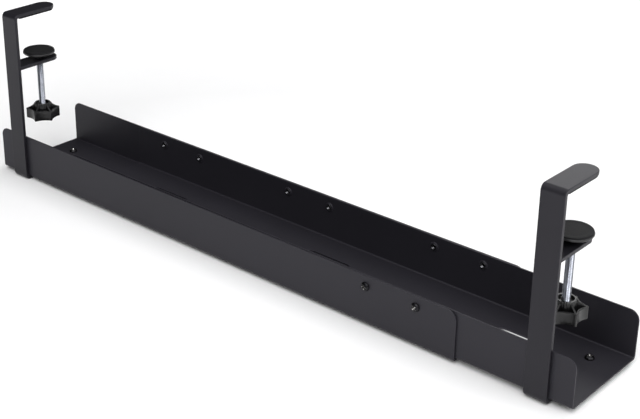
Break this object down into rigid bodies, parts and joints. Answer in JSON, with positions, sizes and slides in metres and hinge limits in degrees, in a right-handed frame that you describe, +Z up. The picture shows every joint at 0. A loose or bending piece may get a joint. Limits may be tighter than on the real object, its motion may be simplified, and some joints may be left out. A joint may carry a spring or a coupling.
{
  "type": "cable tray",
  "caption": "Extendable sheet-steel cable tray that clamps under a desk: two nested U channels, a C-shaped strap bracket and a screw clamp at each end.",
  "frame": {"origin": "middle of the footprint, on the surface that the bracket feet stand on", "axes": "+X along the tray towards the sliding end, +Y from the front wall to the back wall, +Z up"},
  "size_m": [0.8, 0.1241, 0.2108],
  "materials": {
    "tray_coat": "matte black powder coat",
    "bracket_coat": "matte black powder coat",
    "black_screw": "black oxide",
    "soft_pad": "fine-celled foam rubber",
    "pad_face": "smooth rubber",
    "pad_plastic": "smooth moulded",
    "knob_plastic": "lightly textured moulded",
    "zinc_spindle": "bright zinc plate",
    "zinc_insert": "zinc plate",
    "steel_ball": "turned steel"
  },
  "bodies": {
    "outer": {"outer_tray": "tray_coat", "bracket_left": "bracket_coat", "jaw_arm_left": "bracket_coat", "top_pad_left": "soft_pad", "foot_screws_left": "black_screw", "lock_screws_front": "black_screw", "lock_screws_back": "black_screw"},
    "inner": {"inner_tray": "tray_coat", "bracket_right": "bracket_coat", "jaw_arm_right": "bracket_coat", "top_pad_right": "soft_pad", "foot_screws_right": "black_screw", "nut_inserts_front": "zinc_insert", "nut_inserts_back": "zinc_insert"},
    "ball_left": {"pad_ball_left": "steel_ball"},
    "pad_left": {"swivel_pad_left": "pad_plastic", "pad_face_left": "pad_face"},
    "screw_left": {"clamp_screw_left": "zinc_spindle", "knob_left": "knob_plastic", "knob_nut_left": "zinc_insert"},
    "ball_right": {"pad_ball_right": "steel_ball"},
    "pad_right": {"swivel_pad_right": "pad_plastic", "pad_face_right": "pad_face"},
    "screw_right": {"clamp_screw_right": "zinc_spindle", "knob_right": "knob_plastic", "knob_nut_right": "zinc_insert"}
  },
  "joints": [
    {"name": "tray_extend", "type": "slide", "parent": "outer", "child": "inner", "axis": [1, 0, 0], "range_m": [0, 0.4]},
    {"name": "clamp_travel_left", "type": "slide", "parent": "outer", "child": "ball_left", "axis": [0, 0, 1], "range_m": [0, 0.045]},
    {"name": "clamp_spin_left", "type": "hinge", "parent": "ball_left", "child": "screw_left", "pos_m": [-0.364, -0.0211, 0], "axis": [0, 0, 1], "range_deg": [0, 12960]},
    {"name": "pad_tilt_left", "type": "hinge", "parent": "ball_left", "child": "pad_left", "pos_m": [-0.364, -0.0211, 0.149], "axis": [1, 0, 0], "range_deg": [-5, 5]},
    {"name": "clamp_travel_right", "type": "slide", "parent": "inner", "child": "ball_right", "axis": [0, 0, 1], "range_m": [0, 0.045]},
    {"name": "clamp_spin_right", "type": "hinge", "parent": "ball_right", "child": "screw_right", "pos_m": [0.364, -0.0193, 0], "axis": [0, 0, 1], "range_deg": [0, 12960]},
    {"name": "pad_tilt_right", "type": "hinge", "parent": "ball_right", "child": "pad_right", "pos_m": [0.364, -0.0193, 0.1508], "axis": [1, 0, 0], "range_deg": [-5, 5]}
  ],
  "couplings": [
    {"joint": "clamp_travel_left", "follows": "clamp_spin_left", "m_per_rad": 0.00019894},
    {"joint": "clamp_travel_right", "follows": "clamp_spin_right", "m_per_rad": 0.00019894}
  ]
}
